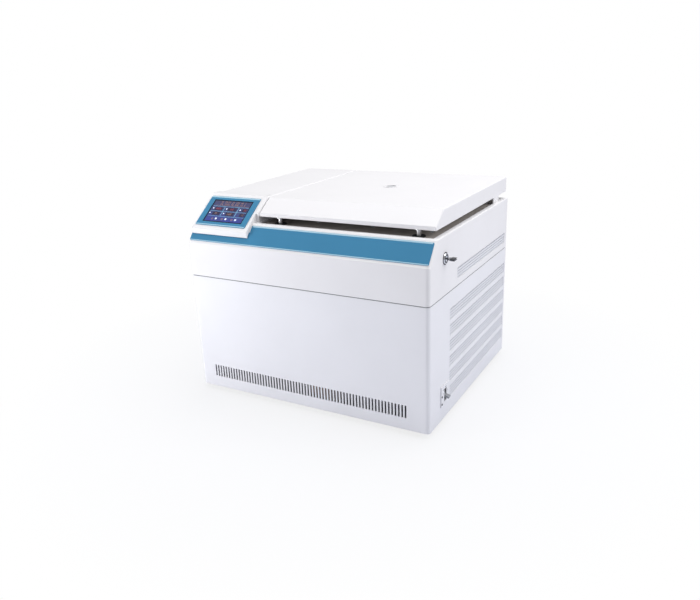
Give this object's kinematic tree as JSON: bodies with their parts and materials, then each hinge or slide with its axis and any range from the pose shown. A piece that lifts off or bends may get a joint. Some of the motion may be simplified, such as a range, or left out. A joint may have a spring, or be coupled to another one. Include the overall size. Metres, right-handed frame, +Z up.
{
  "type": "refrigerated benchtop centrifuge",
  "caption": "Refrigerated benchtop centrifuge: white cabinet with vents, blue sloping front, raised touch-screen pod, hinged lid over a chilled chamber with a fixed-angle rotor.",
  "frame": {"origin": "on the bench, under the middle of the casing's width and depth", "axes": "+X to the right seen from the front, +Y to the back, +Z up"},
  "size_m": [0.6435, 0.535, 0.4823],
  "materials": {
    "white_paint": "satin white powder coat",
    "white_plastic": "smooth white moulding",
    "blue_film": "satin blue printed film",
    "deck_grey": "dark grey satin",
    "liner_grey": "light grey moulding",
    "stainless": "brushed",
    "zinc_sheet": "zinc plated sheet",
    "chrome": "polished",
    "anodised": "grey anodised",
    "aluminium": "mill finish",
    "black_rubber": "matt",
    "black_plastic": "fine texture",
    "screen_glass": "lit display under glass",
    "clear_pane": "clear",
    "foam": "cut insulation foam",
    "black_paint": "semi-gloss black",
    "copper": "drawn tube",
    "green_board": "printed circuit board"
  },
  "bodies": {
    "casing": {"base_plate": "zinc_sheet", "feet": "black_rubber", "lower_cabinet": "white_paint", "vent_screen_right": "white_paint", "vent_screen_left": "white_paint", "rear_panel": "white_paint", "upper_housing": "white_paint", "upper_screens": "white_paint", "deck_plate": "deck_grey", "front_strip": "blue_film", "side_cover": "white_plastic", "pod_housing": "white_plastic", "pod_bezel": "blue_film", "touch_screen": "screen_glass", "control_board": "green_board", "chamber_bowl": "stainless", "evaporator": "copper", "foam_jacket": "foam", "guard_ring": "zinc_sheet", "support_frame": "zinc_sheet", "chamber_seal": "black_rubber", "temperature_probe": "stainless", "dampers": "black_rubber", "motor_plate": "zinc_sheet", "motor": "black_paint", "spindle_bearing": "stainless", "latch_sockets": "black_plastic", "latch_brackets": "zinc_sheet", "latch_motors": "stainless", "hinge_brackets": "stainless", "hinge_pins": "stainless", "lock_barrel": "black_paint", "switch_body": "black_plastic", "switch_plate": "white_plastic", "compressor": "black_paint", "grommets": "black_rubber", "condenser": "aluminium", "fan_shroud": "zinc_sheet", "fan_motor": "black_paint", "motor_drive": "aluminium", "transformer": "black_paint", "power_inlet": "black_plastic", "drain_tube": "black_rubber", "refrigerant_line": "copper"},
    "lid": {"lid_shell": "white_plastic", "lid_liner": "liner_grey", "lid_foam": "foam", "port_tube": "white_plastic", "port_pane": "clear_pane", "strikes": "stainless", "hinge_arms": "zinc_sheet"},
    "rotor": {"rotor": "anodised", "rotor_nut": "stainless", "spindle": "stainless"},
    "latch_left": {"latch_hook_left": "stainless"},
    "latch_right": {"latch_hook_right": "stainless"},
    "key": {"lock_plug": "chrome", "key": "chrome"},
    "switch_lever": {"switch_lever": "black_plastic"},
    "fan": {"condenser_fan": "black_plastic"}
  },
  "joints": [
    {"name": "lid_hinge", "type": "hinge", "parent": "casing", "child": "lid", "pos_m": [0, 0.2595, 0.462], "axis": [-1, 0, 0], "range_deg": [0, 75]},
    {"name": "rotor_spin", "type": "hinge", "parent": "casing", "child": "rotor", "pos_m": [0.078, 0.0545, 0.2588], "axis": [0, 0, 1], "continuous": true},
    {"name": "latch_left_swing", "type": "hinge", "parent": "casing", "child": "latch_left", "pos_m": [-0.086, -0.1635, 0.4164], "axis": [0, 0, 1], "range_deg": [0, 32]},
    {"name": "latch_right_swing", "type": "hinge", "parent": "casing", "child": "latch_right", "pos_m": [0.258, -0.1635, 0.4164], "axis": [0, 0, 1], "range_deg": [0, 32]},
    {"name": "key_turn", "type": "hinge", "parent": "casing", "child": "key", "pos_m": [0.31, -0.1745, 0.3813], "axis": [1, 0, 0], "range_deg": [0, 90]},
    {"name": "mains_switch", "type": "hinge", "parent": "casing", "child": "switch_lever", "pos_m": [0.304, -0.1725, 0.07], "axis": [0, 1, 0], "range_deg": [-30, 0]},
    {"name": "fan_spin", "type": "hinge", "parent": "casing", "child": "fan", "pos_m": [-0.238, -0.0845, 0.119], "axis": [1, 0, 0], "continuous": true}
  ],
  "couplings": [
    {"joint": "latch_right_swing", "follows": "latch_left_swing", "ratio": 1}
  ]
}
